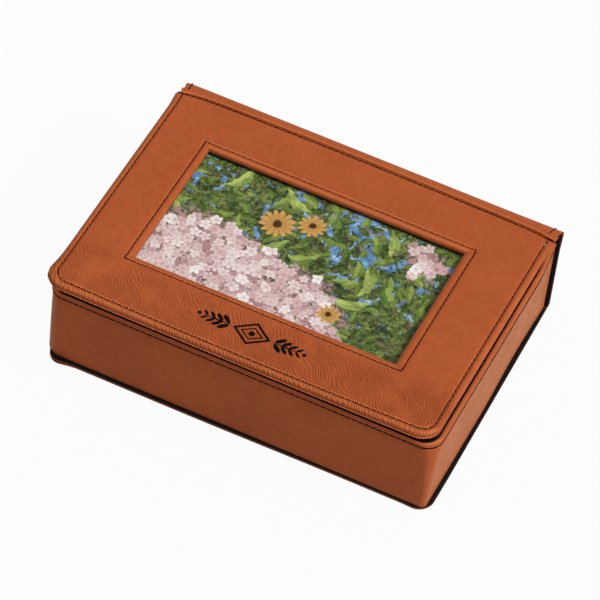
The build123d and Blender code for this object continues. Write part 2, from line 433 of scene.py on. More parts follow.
def leaf_layer(look, under, flat, spacing, length, width, shift, light, dark, share):
    """Pointed leaves with a pale midrib and side veins, laid over the colour below them."""
    u, v, chance, middle = strewn(look, flat, spacing, shift)
    angle = chance[0] * FULL_TURN
    cosine, sine = angle.cosine(), angle.sine()
    along, across = u * cosine + v * sine, v * cosine - u * sine
    bent = across + (along * along) * (0.35 / length)
    reach = 1.0 - (along / length) * (along / length)
    body = (reach * width - bent.absolute()).above(0.0, 0.22) * chance[1].below(share, 0.02)
    veins = ((along - bent.absolute() * 0.9) * (9.0 / width)).sine() * 0.5 + 0.5
    half = bent.above(0.0, 0.3)
    shade = look.mix((half * 0.4 + veins * 0.08 + chance[2] * 0.6 - 0.05).clamped(), light, dark)
    rib = bent.absolute().below(width * 0.07, width * 0.08)
    shade = look.mix(rib * 0.35, shade, tuple(min(1.0, c * 1.6 + 0.04) for c in light))
    return look.mix(body, under, shade)


def blossom_heads(look, vector):
    """1 inside the heads of blossom, 0 between them."""
    x, y, z = look.axes(vector)
    billow = look.noise(vector, 0.09, 3.0, 0.6, 0.5) * 34.0
    heads = None
    for middle_x, middle_y, flat_x, flat_y, reach in ((-42.0, -24.0, 0.55, 1.0, 43.0),
                                                      (-3.0, -31.0, 0.7, 1.2, 43.0),
                                                      (46.0, 25.0, 1.0, 1.6, 26.0)):
        u, v = x - middle_x, y - middle_y
        head = ((u * u * flat_x + v * v * flat_y).math("SQRT") + billow).below(reach, 2.0)
        heads = head if heads is None else heads.larger(head)
    return heads


def round_about(u, v):
    """The angle and the distance of a place from a flower's middle."""
    return v.math("ARCTAN2", u), (u * u + v * v).math("SQRT")


def blossom_layer(look, under, flat, spacing, radius, shift, pale, deep):
    """Five-petalled florets, each lit as its place in the head is, inside the heads."""
    u, v, chance, middle = strewn(look, flat, spacing, shift)
    angle, distance = round_about(u, v)
    lobes = ((angle + chance[0] * FULL_TURN) * 2.5).cosine().absolute()
    edge = (lobes * 0.42 + 0.60) * (chance[1] * 0.45 + 0.68) * radius
    body = (edge - distance).above(0.0, radius * 0.16) * blossom_heads(look, middle).above(0.5, 0.1)
    lit = look.noise(middle, 0.13).above(0.49, 0.22) * 0.62 + chance[2] * 0.5
    out = distance / radius
    shade = look.mix((lit - out.below(0.5, 0.6) * 0.28 - lobes.below(0.22, 0.3) * 0.3).clamped(),
                     deep, pale)
    shade = look.mix(out.below(0.13, 0.1) * chance[1] * 0.8, shade, (0.40, 0.20, 0.13))
    return look.mix(body, under, shade)


def daisy(look, under, x, y, centre, radius, petals, turn):
    """One open yellow flower with many narrow petals."""
    petal, heart = (0.80, 0.43, 0.12), (0.10, 0.045, 0.015)
    angle, distance = round_about(x - centre[0], y - centre[1])
    rays = ((angle + turn) * (petals / 2)).cosine().absolute()
    body = ((rays * 0.36 + 0.66) * radius - distance).above(0.0, 0.3)
    out = distance / radius
    shade = look.mix((out * 0.8).clamped(), scaled(petal, 0.62), petal)
    shade = look.mix(rays.below(0.3, 0.3) * 0.65, shade, scaled(petal, 0.42))
    core = look.mix(look.noise(look.place(), 2.2), heart, scaled(heart, 0.35))
    return look.mix(body, under, look.mix(out.below(0.27, 0.08), shade, core))


def garden_print_finish():
    """A print of a garden: leaves and sky behind, pale blossom and yellow flowers in front."""
    look = Finish("garden_print")
    flat = look.place()
    x, y, z = look.axes(flat)
    loose = unsteady(look, flat, 0.22, 4.5)
    blur = look.noise(flat, 0.11, 3.0, 0.6, 0.6)
    leafy = look.noise(flat, 0.42, 5.0, 0.65, 1.2)
    shade = look.ramp(leafy * 0.7 + blur * 0.3, (0.34, (0.014, 0.026, 0.010)),
                      (0.46, (0.050, 0.085, 0.024)), (0.54, (0.165, 0.225, 0.060)),
                      (0.63, (0.360, 0.420, 0.120)), (0.76, (0.80, 0.78, 0.45)))
    gaps = look.noise(flat, 0.15, 4.0, 0.6, 0.8)
    sky = look.ramp(look.noise(flat, 0.3), (0.3, (0.08, 0.24, 0.58)), (0.6, (0.26, 0.50, 0.86)),
                    (0.8, (0.80, 0.88, 0.97)))
    high = y.above(2.0, 60.0) * 0.10 + x.above(0.0, 30.0) * x.below(34.0, 30.0) * 0.06
    shade = look.mix((gaps + high).above(0.665, 0.04), shade, sky)
    for scale, turn, shift, middle, tint in (
            ((0.035, 0.11, 0.1), 0.55, (0.0, 0.0, 0.0), 0.50, (0.30, 0.205, 0.125)),
            ((0.09, 0.03, 0.1), -0.5, (7.0, 3.0, 0.0), 0.52, (0.075, 0.050, 0.032))):
        stalk = look.place(scale, turn, shift)
        twig = (look.noise(stalk, 1.0, 3.0, 0.5, 0.5) - middle).absolute().below(0.007, 0.006)
        shade = look.mix(twig * 0.85, shade, tint)
    for leaves in (
            (6.5, 4.6, 1.5, (3.0, 11.0, 0.0), (0.230, 0.310, 0.062), (0.034, 0.066, 0.016), 0.52),
            (9.5, 6.6, 2.0, (21.0, 5.0, 0.0), (0.360, 0.470, 0.095), (0.060, 0.120, 0.026), 0.42),
            (15.0, 9.5, 2.6, (40.0, 17.0, 0.0), (0.560, 0.680, 0.180), (0.120, 0.210, 0.036), 0.26)):
        shade = leaf_layer(look, shade, loose, *leaves)
    dapple = look.ramp(look.noise(flat, 0.13, 4.0, 0.6, 0.4), (0.36, (0.46, 0.48, 0.46)),
                       (0.50, (0.92, 0.93, 0.90)), (0.66, (1.0, 1.0, 1.0)))
    shade = look.mix(1.0, shade, dapple, "MULTIPLY")
    between = look.noise(flat, 0.5, 3.0).above(0.52, 0.08)
    shade = look.mix(blossom_heads(look, flat), shade,
                     look.mix(between, (0.40, 0.25, 0.25), (0.10, 0.11, 0.05)))
    petals = unsteady(look, flat, 0.6, 1.0)
    for blossom in ((4.9, 3.3, (1.0, 2.0, 0.0), (0.80, 0.55, 0.54), (0.32, 0.16, 0.17)),
                    (4.4, 2.9, (31.0, 13.0, 0.0), (0.98, 0.80, 0.77), (0.48, 0.26, 0.27)),
                    (5.3, 3.0, (11.0, 43.0, 0.0), (1.0, 0.97, 0.92), (0.70, 0.43, 0.43))):
        shade = blossom_layer(look, shade, petals, *blossom)
    x, y, z = look.axes(unsteady(look, flat, 0.3, 2.0))
    for flower in (((-21.0, 14.0), 8.4, 13, 0.3), ((-6.5, 20.5), 6.6, 12, 0.9),
                   ((22.0, -24.0), 5.4, 11, 0.1)):
        shade = daisy(look, shade, x, y, *flower)
    speck = look.ramp(look.noise(flat, 1.5, 3.0, 0.7), (0.3, (0.30, 0.30, 0.30)),
                      (0.7, (0.72, 0.72, 0.72)))
    return look.surface(Base_Color=look.mix(0.4, shade, speck, "OVERLAY"), Roughness=0.35,
                        Specular_IOR_Level=0.05)


FINISHES = {
    "lid leather": lambda colours: leather_finish("lid_leatherette", colours, True),
    "leather": lambda colours: leather_finish("leatherette", colours),
    # painted shade: a darker copy of the leatherette for the base's thin edge, which lies in shade under the
    # ledge
    "shaded edge leather": lambda colours: leather_finish("leatherette_edge", colours, False, 0.38),
    "thread": thread_finish,
    "lining": lambda colours: cloth_finish("black_cloth", colours),
    "pad": lambda colours: cloth_finish("black_padding_cloth", colours, 0.04),
    "board": lambda colours: board_finish("binders_board", colours.board, (0.24, 0.19, 0.14)),
    "card": lambda colours: board_finish("black_card", (0.016, 0.014, 0.014), (0.009, 0.008, 0.008)),
    "foam": lambda colours: foam_finish(),
    "pane": lambda colours: pane_finish(),
    "print": lambda colours: garden_print_finish(),
    "engraved": lambda colours: engraved_finish(),
    "floor": lambda colours: white_stage_finish(),
}
made_finishes = {}


def wear(piece, *names):
    """Gives a piece its finishes, each made when it is first asked for, in the order of its slots."""
    piece.data.materials.clear()
    for name in names:
        if name not in made_finishes:
            made_finishes[name] = FINISHES[name](bpy.context.scene.photo_box_colours)
        piece.data.materials.append(made_finishes[name])


# ---------------------------------------------------------------- modelling by hand


def enter():
    bpy.ops.object.mode_set(mode="EDIT")


def leave():
    bpy.ops.object.mode_set(mode="OBJECT")


def deselect():
    if bpy.context.object and bpy.context.object.mode != "OBJECT":
        leave()
    bpy.ops.object.select_all(action="DESELECT")


def named(name):
    """Names the active object."""
    made = bpy.context.object
    made.name = made.data.name = name
    return made


def added(name, operator, **settings):
    """Adds an object with one of Blender's own operators and names it."""
    deselect()
    operator(**settings)
    return named(name)


def take(*pieces):
    """Selects only these pieces; the first is the active one."""
    deselect()
    for piece in pieces:
        piece.select_set(True)
    bpy.context.view_layer.objects.active = pieces[0]


def joined(name, pieces):
    take(*pieces)
    bpy.ops.object.join()
    return named(name)


def edit(piece, operator, **settings):
    """Runs one of Blender's mesh operators on all of a piece."""
    take(piece)
    enter()
    bpy.ops.mesh.select_all(action="SELECT")
    operator(**settings)
    leave()


def settle(piece):
    """Puts a finished piece's place into its mesh."""
    take(piece)
    bpy.ops.object.transform_apply(location=True, rotation=True, scale=True)


def pick(kind, test=lambda element: True):
    """In edit mode, selects the verts, edges or faces that pass the test."""
    piece = bpy.context.object
    bpy.ops.mesh.select_mode(type={"verts": "VERT", "edges": "EDGE", "faces": "FACE"}[kind])
    bpy.ops.mesh.select_all(action="DESELECT")
    mesh = bmesh.from_edit_mesh(piece.data)
    found = [element for element in getattr(mesh, kind) if test(element)]
    if not found:
        raise RuntimeError(f"nothing was found to select on {piece.name}")
    for element in found:
        element.select_set(True)
    mesh.select_flush_mode()
    bmesh.update_edit_mesh(piece.data)


def place_of(vert):
    return vert.co / MM


def delete_faces():
    """Deletes the selected faces and leaves edit mode."""
    bpy.ops.mesh.delete(type="FACE")
    leave()


def middle_of(edge):
    return (edge.verts[0].co + edge.verts[1].co) / 2 / MM


def reach_of(edge, axis):
    """How far an edge goes along an axis, in metres."""
    return abs(edge.verts[0].co[axis] - edge.verts[1].co[axis])


def extrude(*move):
    """Extrudes the selection by a move in metres."""
    bpy.ops.mesh.extrude_region_move(TRANSFORM_OT_translate={"value": move})


def plate(name, left, right, front, back, z, radii, pitch=2.2, downward=False, whole=True):
    """A flat face with rounded corners and divided sides, left in edit mode: every panel's start."""
    piece = added(name, bpy.ops.mesh.primitive_plane_add, size=1, location=(0, 0, 0))
    enter()
    bpy.ops.transform.resize(value=((right - left) * MM, (back - front) * MM, 1))
    bpy.ops.transform.translate(value=((left + right) / 2 * MM, (front + back) / 2 * MM, z * MM))
    for side, radius in zip((front, back), radii):
        if radius:
            pick("verts", lambda v: abs(place_of(v).y - side) < 0.01 and min(
                abs(place_of(v).x - left), abs(place_of(v).x - right)) < 0.01)
            bpy.ops.mesh.bevel(offset=radius * MM, offset_type="OFFSET", segments=9,
                               affect="VERTICES")
    for axis in (1, 0):
        mesh = bmesh.from_edit_mesh(piece.data)
        length = max(e.calc_length() / MM for e in mesh.edges if reach_of(e, axis) < 1e-6)
        pick("edges", lambda e: reach_of(e, axis) < 1e-6 and e.calc_length() / MM > length * 0.9)
        bpy.ops.mesh.subdivide(number_cuts=max(1, round(length / pitch)), quadcorner="INNERVERT")
    bpy.ops.mesh.select_mode(type="FACE")
    bpy.ops.mesh.select_all(action="SELECT")
    if whole:
        bpy.ops.mesh.dissolve_faces(use_verts=False)
    if downward:
        bpy.ops.mesh.flip_normals()
    return piece


def at(level, profile):
    """A profile whose heights are counted from a level."""
    return [(inward, level + height) for inward, height in profile]


def rings(profile, up=1):
    """Insets the selected face along a profile of (distance in, height) points; up is -1 on a face
    that looks down."""
    for (inward, height), (next_inward, next_height) in zip(profile, profile[1:]):
        bpy.ops.mesh.inset(thickness=(next_inward - inward) * MM, use_even_offset=True,
                           depth=(next_height - height) * up * MM, use_boundary=True)


def wrap(name, outline, widest, upper, lower, open_top=False, open_below=False):
    """A panel's skin from its widest line, in and up along one profile, in and down along another."""
    left, right, front, back, radii = outline
    halves = []
    for profile, up, is_open in ((upper, 1, open_top), (lower, -1, open_below)):
        half = plate(name, left, right, front, back, widest, radii, downward=up < 0)
        rings([(0.0, widest), *profile], up)
        if is_open:
            delete_faces()
        halves.append(half)
    piece = joined(name, halves)
    edit(piece, bpy.ops.mesh.remove_doubles, threshold=0.002 * MM)
    return piece


def finish_with(piece, kind, **settings):
    """Adds a modifier and applies it."""
    take(piece)
    modifier = piece.modifiers.new(kind.lower(), kind)
    for key, value in settings.items():
        setattr(modifier, key, value)
    bpy.ops.object.modifier_apply(modifier=modifier.name)


def thicken(piece, thickness, offset=-1.0):
    finish_with(piece, "SOLIDIFY", thickness=thickness * MM, offset=offset)


def smooth(piece, degrees):
    take(piece)
    bpy.ops.object.shade_smooth_by_angle(angle=math.radians(degrees))


def reshape(piece, *moves):
    """Moves every vertex of a piece; each move takes and gives a place in millimetres."""
    for move in moves:
        for vert in piece.data.vertices:
            vert.co = Vector(move(vert.co / MM)) * MM
    piece.data.update()


def hand_over(piece, body, slot, *nodes):
    """A finished piece rides on its body and stands for its frame nodes."""
    settle(piece)
    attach(piece, body)
    if nodes:
        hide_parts(*nodes)
    return piece


def finished(piece, degrees, finish, body, slot, *nodes):
    """Smooths and colours a piece, then hands it over."""
    smooth(piece, degrees)
    wear(piece, finish)
    return hand_over(piece, body, slot, *nodes)


# ---------------------------------------------------------------- outlines and bends


def drawn_in(outline, inset):
    """The same outline, smaller by inset on every side."""
    left, right, front, back, radii = outline
    return (left + inset, right - inset, front + inset, back - inset,
            tuple(max(0.0, radius - inset) for radius in radii))


def based(place):
    """The base panel's outline as it lies: its right edge tapers back, its front bends a little."""
    x, y, z = place
    right = part_of(x, BASE[1] - 25.0, BASE[1] - 2.0)
    front = part_of(-y, -BASE[2] - 25.0, -BASE[2] - 2.0)
    corner = part_of(-x, 76.0, 90.0) * part_of(-y, 55.0, 67.0)
    if 0.8 < z < 1.5:
        z += 1.2 * part_of(-x, 72.0, 90.0) * part_of(-y, 46.0, 64.0)
    taper = right * 1.15 * max(0.0, y + 45.0) / 105.0
    x += 0.9 * part_of(-x, 80.0, 93.0) * part_of(-y, 54.0, 66.0) - taper
    y += front * 0.8 * part_of(x, -30.0, 65.0) * (1.0 - part_of(x, 82.0, 94.0) * 0.6) - corner * 1.7
    return x, y, z


def bow(x):
    """How far the hinge line bends back of its mean at x."""
    share = (x - (LID_LOW.x + LID_HIGH.x) / 2) / ((LID_HIGH.x - LID_LOW.x) / 2)
    depth = bpy.context.scene.photo_box_sizes.crease_bow
    return depth * (0.38 - share * share) - 0.006 * max(0.0, abs(x) - 76.0) ** 2


def part_of(value, start, end):
    """0 before start, 1 after end, and a smooth rise between them."""
    share = max(0.0, min(1.0, (value - start) / (end - start)))
    return share * share * (3.0 - 2.0 * share)


def outward(x, y, outline):
    """The direction that faces away from a rounded outline at a place near it."""
    left, right, front, back, (front_radius, back_radius) = outline
    radius = front_radius if y < (front + back) / 2 else back_radius
    radius = max(radius, 0.5)
    core_x = max(left + radius, min(right - radius, x))
    core_y = max(front + radius, min(back - radius, y))
    if core_x == x and core_y == y:
        return Vector((0.0, 0.0))
    way = Vector((x - core_x, y - core_y))
    return way.normalized() if way.length > 1e-6 else way


def sharpened(x, y, centre, move):
    """Makes a rounded corner tighter by move; centre is the middle of its arc."""
    side = (1.0 if centre[0] > 0 else -1.0, 1.0 if centre[1] > 0 else -1.0)
    across, along = (x - centre[0]) * side[0], (y - centre[1]) * side[1]
    if across <= 0 or along <= 0 or move <= 0:
        return x, y
    reach = math.hypot(across, along)
    move = min(move, reach * 0.9)
    kept = (reach - move) / reach
    return centre[0] + side[0] * (move + across * kept), centre[1] + side[1] * (move + along * kept)


def opened(place):
    """Widens the window inside its sewing: the rolled edge differs a little from side to side."""
    x, y, z = place
    moved = []
    for value, low, high, low_roll, high_roll in ((x, WINDOW[0], WINDOW[1], 3.1, 4.4),
                                                  (y, WINDOW[2], WINDOW[3], 3.5, 2.95)):
        full, middle = WINDOW_SEWING, (low + high) / 2
        inside_low = max(0.0, value - (low - full)) / full
        inside_high = max(0.0, (high + full) - value) / full
        value -= min(1.0, inside_low) * (full - low_roll) * (1.0 if value < middle else 0.0)
        value += min(1.0, inside_high) * (full - high_roll) * (1.0 if value >= middle else 0.0)
        moved.append(value)
    return moved[0], moved[1], z


def gathered(place):
    """Draws the lid's back rings up to the hinge line, bows them and sinks the back border."""
    x, y, z = place
    for corner_x in (LID[0] + LID_BACK_RADIUS, LID[1] - LID_BACK_RADIUS):
        x, y = sharpened(x, y, (corner_x, LID[3] - LID_BACK_RADIUS), LID_BACK_RADIUS - 0.9)
    behind = LID_HIGH.y - y
    kept, whole = 0.75, 9.0
    if behind < SEWING_INSET:
        behind = behind * kept / SEWING_INSET
    elif behind < whole:
        behind = kept + (behind - SEWING_INSET) * (whole - kept) / (whole - SEWING_INSET)
    weight = max(0.0, min(1.0, (y - (LID_HIGH.y - 30.0)) / 30.0)) ** 2
    flare = part_of(LID[0] + 12.0 - x, 0.0, 12.0) * part_of(-y, 50.0, 68.0)
    flare *= max(0.0, 1.0 - max(0.0, min(x - LID[0], y - LID[2])) / 3.8)
    inward = y - LID[2]
    swell = 0.9 * max(0.0, 1.0 - (x / 84.0) ** 2)
    swell *= (0.35 + 0.65 * part_of(inward, 0.0, 3.0)) * (1.0 - part_of(inward, 3.2, 13.0))
    if z > TOP - 1.0:
        sunk = (0.32 + 0.3 * part_of(x, 70.0, 93.0)) * part_of(y, 52.0, 59.0)
        z -= sunk * part_of(z, TOP - 1.0, TOP - 0.6)
    x -= 1.7 * flare + 0.7 * part_of(-x, 84.0, 95.0) * part_of(y, 54.0, 64.0)
    return x, LID_HIGH.y - behind + bow(x) * weight - swell, z - 0.45 * flare


# ---------------------------------------------------------------- the pieces


class Piece:
    """What every operator here shares."""

    bl_options = {"REGISTER", "UNDO"}

    def execute(self, context):
        made = self.make(context.scene.photo_box_sizes)
        if made is None:
            raise RuntimeError(f"{self.bl_label} made nothing")
        deselect()
        return {"FINISHED"}


class PHOTOBOX_OT_lid_leather(Piece, bpy.types.Operator):
    """Wrap the lid: a puffed edge outside the sewing, a rolled window edge and the turned-in underside"""

    bl_idname = "photobox.lid_leather"
    bl_label = "Lid leatherette"

    def make(self, sizes):
        groove = sizes.groove_depth
        upper = [(0.05, -1.55), (0.2, -1.08), (0.5, -0.66), (0.95, -0.33), (1.35, -0.09), (1.7, 0.0),
                 (2.1, -0.06), (2.5, -groove * 0.38), (2.9, -groove * 0.8), (SEWING_INSET, -groove),
                 (3.45, -groove * 0.5), (3.9, 0.0)]
        lower = [(0.05, -2.3), (0.2, -2.55), (0.5, -2.74), (0.54, -2.84), (0.56, -2.96), (0.58, -3.1),
                 (0.72, -3.3), (1.1, -3.55), (1.8, -3.85), (3.0, LID_LOW.z - TOP)]
        body = wrap("lid_leather", LID, TOP - 2.0, at(TOP, upper), at(TOP, lower), open_top=True,
                    open_below=True)
        reshape(body, self.lipped, gathered)
        left, right, front, back = WINDOW
        out = 6.0
        roll = [(out - 4.9, -0.05), (out - 4.35, -groove * 0.5), (out - WINDOW_SEWING, -groove),
                (out - 3.7, -groove * 0.5), (out - 3.3, -0.18), (out - 2.5, -0.10),
                (out - 1.6, -0.22), (out - 0.9, -0.52), (out - 0.35, -0.98), (out - 0.06, -1.55),
                (out, -2.1), (out + 0.02, -2.35), (out + 0.02, LID_LOW.z - TOP)]
        edge = plate("window_roll", left - out, right + out, front - out, back + out, TOP, (0.0, 0.0))
        rings(at(TOP, [(0.0, 0.0), *roll]))
        delete_faces()
        reshape(edge, opened)
        joined("lid_leather", (body, edge))
        self.bridge(body, lambda p: p.z > TOP - 2.0, 12)
        self.bridge(body, lambda p: p.z < TOP - 2.0, 8)
        edit(body, bpy.ops.mesh.normals_make_consistent, inside=False)
        wear(body, "lid leather", "lining")
        for face in body.data.polygons:
            middle = face.center / MM
            inside = left - 1.6 < middle.x < right + 1.6 and front - 1.6 < middle.y < back + 1.6
            face.material_index = 1 if inside and middle.z < TOP - 2.36 else 0
        finish_with(body, "SUBSURF", levels=1, render_levels=1)
        smooth(body, 70)
        return hand_over(body, "lid", "leatherette", "lid_cover")

    def lipped(self, place):
        """Draws the lower edge out into a thin lip below the side's fold."""
        x, y, z = place
        down = TOP - z
        reach = (0.35 + 0.65 * part_of(-y, 58.0, 68.0)) * part_of(down, 2.75, 2.95)
        reach *= 1.0 - part_of(down, 3.12, 3.5)
        way = outward(x, y, LID) * reach
        return x + way.x, y + way.y, z

    def bridge(self, body, level, cuts):
        """Joins the two open loops at one level with a flat band."""
        take(body)
        enter()
        pick("edges", lambda e: e.is_boundary and level(middle_of(e)))
        bpy.ops.mesh.bridge_edge_loops(number_cuts=cuts, interpolation="LINEAR")
        leave()


def leaned(place, inside=False):
    """How the tray stands: its front and right walls lean in, the left one leans out, and its right
    front corner sharpens downwards."""
    x, y, z = place
    rim = TRAY_HIGH.z
    drop = max(0.0, min(1.0, (rim - 3.0 - z) / (rim - 3.0 - TRAY_LOW.z)))
    centre = (TRAY_HIGH.x - TRAY_FRONT_RADIUS, TRAY_LOW.y + TRAY_FRONT_RADIUS)
    x, y = sharpened(x, y, centre, (TRAY_FRONT_RADIUS - 2.6) * max(0.0, drop - 0.02) ** 0.4)
    forward = part_of(y, TRAY_LOW.y + 16.0, TRAY_LOW.y)
    left = part_of(x, TRAY_LOW.x + 20.0, TRAY_LOW.x)
    right = part_of(x, TRAY_HIGH.x - 20.0, TRAY_HIGH.x)
    bulge = math.sin(math.pi * drop) * 0.3
    high = part_of(z, rim - 6.0, rim - 0.5)
    behind = part_of(y, 44.0, TRAY_HIGH.y)
    raised = right * part_of(y, -30.0, 45.0) * (0.9 - 0.9 * behind) * (0.6 if inside else 1.0)
    lift = raised - forward * 1.2
    foot = 1.35 + (0.0 if inside else part_of(y, -10.0, 40.0))
    lean = (1.0 - behind) * foot * drop + behind * (1.9 + 0.1 * drop)
    x += left * (1.3 - 0.5 * drop) - right * lean
    y += forward * (1.1 * drop - 0.35 - bulge)
    return x, y, z + lift * high


def leaned_inside(place):
    return leaned(place, inside=True)


class PHOTOBOX_OT_tray_leather(Piece, bpy.types.Operator):
    """Wrap the tray's walls in leatherette: a rolled rim above the sewing, and walls that lean a little"""

    bl_idname = "photobox.tray_leather"
    bl_label = "Tray leatherette"

    def make(self, sizes):
        rim = TRAY_HIGH.z
        upper = [(0.06, rim - 1.15), (0.25, rim - 0.62), (0.55, rim - 0.26), (0.95, rim - 0.06),
                 (1.35, rim - 0.02), (1.75, rim - 0.1), (1.95, rim - 0.36), (1.97, rim - 1.3)]
        lower = [(0.05, rim - 2.5), (0.2, rim - 2.95), (0.42, rim - 3.25), (0.43, rim - 3.55),
                 (0.44, rim - 3.9), (0.45, rim - 5.0), (0.46, rim - 9.0), (0.47, rim - 16.0),
                 (0.48, rim - 24.0), (0.49, rim - 32.0), (0.5, rim - 38.0), (0.52, TRAY_LOW.z)]
        outline = (*drawn_in(TRAY, -0.25)[:4], (TRAY_FRONT_RADIUS + 0.25, 0.0))
        body = wrap("tray_leather", outline, rim - 1.8, upper, lower, open_top=True, open_below=True)
        reshape(body, self.filled, leaned)
        thicken(body, 0.35)
        return finished(body, 60, "leather", "box", "leatherette", "tray_cover")

    def filled(self, place):
        """Lets the wall out again below the groove of the sewing."""
        x, y, z = place
        down = TRAY_HIGH.z - z
        way = outward(x, y, TRAY) * (0.26 * part_of(down, 3.6, 4.6))
        return x + way.x, y + way.y, z


class PHOTOBOX_OT_tray_walls(Piece, bpy.types.Operator):
    """Stand the tray's wall boards: one bent round the front corners, one along the back"""

    bl_idname = "photobox.tray_walls"
    bl_label = "Tray boards"

    def make(self, sizes):
        low, high = TRAY_LOW.z + 0.05, TRAY_HIGH.z - 2.5
        cut = TRAY_HIGH.y - 3.4
        for name, node, behind in (("wall_board", "tray_wall_board", False),
                                   ("back_board", "tray_back_board", True)):
            board = plate(name, *drawn_in(TRAY, 1.5)[:4], low, (TRAY_FRONT_RADIUS - 1.5, 0.0))
            for _ in range(4):
                extrude(0, 0, (high - low) * 0.25 * MM)
            pick("faces", lambda f: abs(f.normal.z) > 0.5 or
                 (f.calc_center_median().y / MM < cut) == behind)
            delete_faces()
            reshape(board, leaned_inside)
            thicken(board, 1.4)
            wear(board, "board")
            hand_over(board, "box", "board", node)
        return board


class PHOTOBOX_OT_tray_lining(Piece, bpy.types.Operator):
    """Line the tray: black cloth over the rim's inner half and down the walls, drawn over the roll at the front
    as painted shade in the gap under the lid
    """

    bl_idname = "photobox.tray_lining"
    bl_label = "Tray lining"

    def make(self, sizes):
        rim = WALL_LINING_HIGH.z
        inset = WALL_LINING_LOW.x - TRAY_LOW.x - 0.05
        *sides, radii = drawn_in(TRAY, inset)
        cloth = plate("tray_lining", *sides, rim - 0.35, (radii[0] + 0.4, 0.0))
        rings([(0.0, rim - 0.35), (0.15, rim - 0.1), (0.5, rim + 0.06), (1.1, rim - 0.02),
               (1.42, rim - 0.35), (1.6, rim - 0.9), (1.61, rim - 1.6), (1.62, rim - 8.0),
               (1.64, rim - 24.0), (1.65, WALL_LINING_LOW.z + 0.1)])
        delete_faces()
        # the cloth's front edge goes over the roll as painted shade in the gap under the lid
        reshape(cloth, self.lifted_as_gap_shade, leaned_inside)
        thicken(cloth, 0.22)
        return finished(cloth, 60, "lining", "box", "black_lining", "tray_wall_lining")

    def lifted_as_gap_shade(self, place):
        """Lifts the cloth's front edge onto the leatherette's roll: the black sheet there is painted shade for
        the dark gap under the lid's front.
        """
        x, y, z = place
        rim = WALL_LINING_HIGH.z
        near = part_of(-y, 52.0, 64.0) * part_of(z, rim - 1.5, rim - 0.6)
        return x, y - 1.4 * part_of(-y, 58.0, 64.0) * near, z + 0.62 * near


class PHOTOBOX_OT_floor_pad(Piece, bpy.types.Operator):
    """Pad the tray's floor: black cloth over thin wadding, its edges tucked down"""

    bl_idname = "photobox.floor_pad"
    bl_label = "Floor pad"

    def make(self, sizes):
        low, high = PAD_LOW.z, PAD_HIGH.z
        outline = (PAD_LOW.x + 1.2, PAD_HIGH.x - 2.3, PAD_LOW.y + 1.1, PAD_HIGH.y - 0.4, (7.0, 4.4))
        pad = wrap("floor_pad", outline, low + 0.5,
                   [(0.1, low + 0.8), (0.4, high - 0.42), (1.1, high - 0.2), (2.4, high - 0.06),
                    (4.0, high)],
                   [(0.05, low + 0.2), (0.4, low + 0.02)])
        finished(pad, 60, "pad", "box", "black_lining", "tray_floor_pad")
        return pad


class PHOTOBOX_OT_base_leather(Piece, bpy.types.Operator):
    """Wrap the base panel: a rolled leatherette edge below, black cloth over the top and its edge"""

    bl_idname = "photobox.base_leather"
    bl_label = "Base leatherette"

    def make(self, sizes):
        outline = (BASE[0] - 0.1, BASE[1] - 0.3, *BASE[2:])
        body = wrap("base_leather", outline, 0.62,
                    [(0.03, 0.9), (0.14, 1.08), (0.35, 1.16), (1.05, 1.16), (1.06, 0.78)],
                    [(0.03, 0.42), (0.16, 0.18), (0.42, 0.04), (0.8, 0.0)])
        reshape(body, based)
        # the base's edge wears the darker copy of the leatherette, as painted shade
        finished(body, 50, "shaded edge leather", "box", "leatherette", "base_cover")
        top = BASE_HIGH.z + 0.3
        left, right, front, _, radii = drawn_in(BASE, 0.25)
        outline = (left, right, front, SPINE_LINING_LOW.y - 0.05, (radii[0], 0.0))
        cloth = wrap("base_cloth", outline, 1.7,
                     [(0.02, 2.0), (0.12, 2.3), (0.32, 2.5), (0.6, top - 0.02), (1.0, top)],
                     [(0.02, 1.4), (0.08, 1.24), (0.25, 1.18), (0.5, 1.17)], open_below=True)
        reshape(cloth, based)
        thicken(cloth, 0.15)
        finished(cloth, 50, "lining", "box", "black_lining", "base_lining")
        inner = (*drawn_in(BASE, 1.1)[:4], (radii[0] - 1.0, 0.0))
        board = wrap("base_panel_board", inner, 1.6, [(0.02, 2.0), (0.2, 2.25), (0.5, 2.3)],
                     [(0.02, 1.35), (0.3, 1.22), (1.2, 0.9), (1.6, 0.82)])
        reshape(board, based)
        wear(board, "board")
        return hand_over(board, "box", "board", "base_board")


def strip_profile(sizes):
    """The spine's skin from the hinge line over the strip and down the back, as (y, z) places."""
    top, back, start, ridge = STRIP_HIGH.z, STRIP_HIGH.y, HINGE_Y, sizes.strip_ridge
    return [(start + 0.02, top - 0.75), (start + 0.04, top - 0.4), (start + 0.09, top - 0.05),
            (start + 0.24, top + ridge * 0.42), (start + 0.8, top + ridge * 0.66),
            (start + 1.5, top + ridge * 0.9), (start + 2.0, top + ridge),
            (start + 2.5, top + ridge * 0.82), (start + 3.1, top + ridge * 0.4),
            (start + 3.8, top - 0.02),
            (back - 0.95, top - 0.14), (back - 0.55, top - 0.28), (back - 0.24, top - 0.58),
            (back - 0.06, top - 1.02), (back, top - 1.6), (back, top - 4.0), (back, top - 12.0),
            (back, top - 26.0), (back, top - 40.0), (back, SPINE_LOW.z)]


def fitted(place):
    """Bows the strip's front with the hinge line, draws its left end in and lifts its right end."""
    x, y, z = place
    weight = max(0.0, min(1.0, (STRIP_HIGH.y - y) / (STRIP_HIGH.y - HINGE_Y)))
    half = STRIP_HIGH.x
    over = max(0.0, -x - (half - 2.2)) / 2.35
    if z > STRIP_HIGH.z - 3.0:
        z += part_of(x, 70.0, half) * 0.3 - over * over * 0.2
        y -= over * over * 0.2 * (1.0 - weight)
    if x > 0:
        x -= part_of(x, half - 6.0, half) * 0.4 * part_of(STRIP_HIGH.z - z, 3.0, 9.0)
        x -= part_of(x, half - 8.0, half) * 2.2 * weight
    else:
        x += part_of(-x, half - 8.0, half) * (0.9 + 1.5 * weight) * part_of(z, 20.0, 48.0)
    return x, y + bow(x) * weight, z


